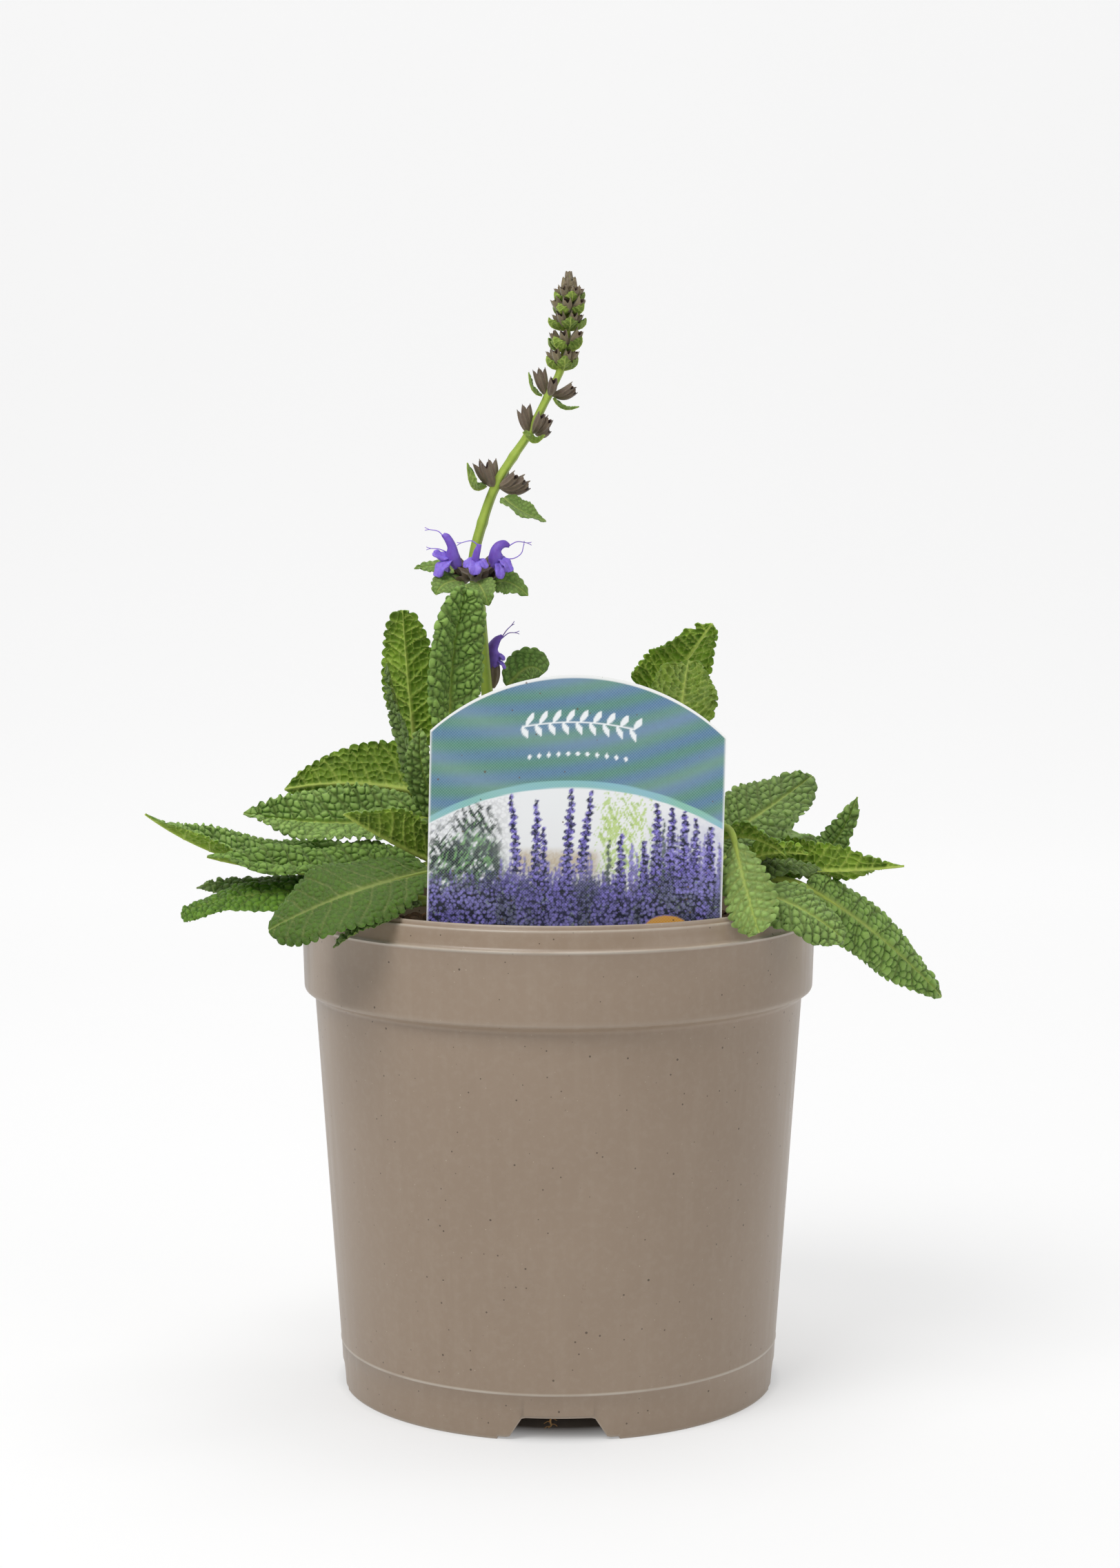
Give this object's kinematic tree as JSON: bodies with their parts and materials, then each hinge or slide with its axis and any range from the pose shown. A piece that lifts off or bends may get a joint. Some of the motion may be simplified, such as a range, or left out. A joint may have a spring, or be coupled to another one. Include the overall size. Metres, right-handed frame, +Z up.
{
  "type": "potted sage plant",
  "caption": "Flowering sage plant in a tapered round nursery pot with a rolled band at the rim, a notched foot and an arched printed plant tag.",
  "frame": {"origin": "on the pot's axis, on the surface that the pot stands on", "axes": "+Z up along the pot's axis; -Y to the front, the side that the printed tag faces; +X to the viewer's right when seen from the front"},
  "size_m": [0.2622, 0.1736, 0.3684],
  "materials": {
    "pot_plastic": "satin taupe, injection moulded, faint dust and specks",
    "compost": "loose dark compost with bark crumbs, matte and rough",
    "tag_print": "printed plastic card with a white edge, satin",
    "crown_bark": "young woody shoot base, rough",
    "leaf_green": "living leaf, grey-green and wrinkled above, yellow-green and veined below, thin enough to glow",
    "bract_green": "small living leaf, fine hair",
    "stem_green": "young square stem, fine hair",
    "bud_green": "closed buds and their small leaves, green and brown",
    "husk": "ribbed brown-purple seed cups, dry",
    "petal_violet": "soft violet petals",
    "root": "thin pale root"
  },
  "bodies": {
    "root": {"pot": "pot_plastic", "soil": "compost", "tag": "tag_print", "crown": "crown_bark", "stem": "stem_green", "stem_side": "stem_green", "spike_tip": "bud_green", "root": "root", "leaf_left_upright": "leaf_green", "leaf_left_rolled": "leaf_green", "leaf_left_small": "leaf_green", "leaf_centre_upright": "leaf_green", "leaf_side_shoot": "leaf_green", "leaf_right_upright": "leaf_green", "leaf_right_inner": "leaf_green", "leaf_left_back": "leaf_green", "leaf_left_high": "leaf_green", "leaf_left_inner": "leaf_green", "leaf_left_long": "leaf_green", "leaf_left_middle": "leaf_green", "leaf_left_shade": "leaf_green", "leaf_left_low": "leaf_green", "leaf_left_front": "leaf_green", "leaf_left_drooping": "leaf_green", "leaf_right_high": "leaf_green", "leaf_right_curled": "leaf_green", "leaf_right_bright": "leaf_green", "leaf_right_pointed": "leaf_green", "leaf_right_shade": "leaf_green", "leaf_right_rear": "leaf_green", "leaf_right_long": "leaf_green", "leaf_right_front": "leaf_green", "leaf_right_pale": "leaf_green", "leaf_rear_right": "leaf_green", "leaf_rear_centre": "leaf_green", "leaf_rear_left": "leaf_green", "leaf_rear_upright": "leaf_green", "leaf_rear_side": "leaf_green", "bract_first_rear": "bract_green", "bract_first_left": "bract_green", "bract_first_front": "bract_green", "bract_first_right": "bract_green", "bract_second_left": "bract_green", "bract_second_right": "bract_green", "bract_third": "bract_green", "bract_fourth_left": "bract_green", "bract_fourth_right": "bract_green", "cups_first": "husk", "cups_second_left": "husk", "cups_second_right": "husk", "cups_third_left": "husk", "cups_third_right": "husk", "cups_fourth_left": "husk", "cups_fourth_right": "husk", "cup_side": "husk", "flower_left": "petal_violet", "flower_centre": "petal_violet", "flower_right": "petal_violet", "flower_side": "petal_violet"}
  },
  "joints": []
}
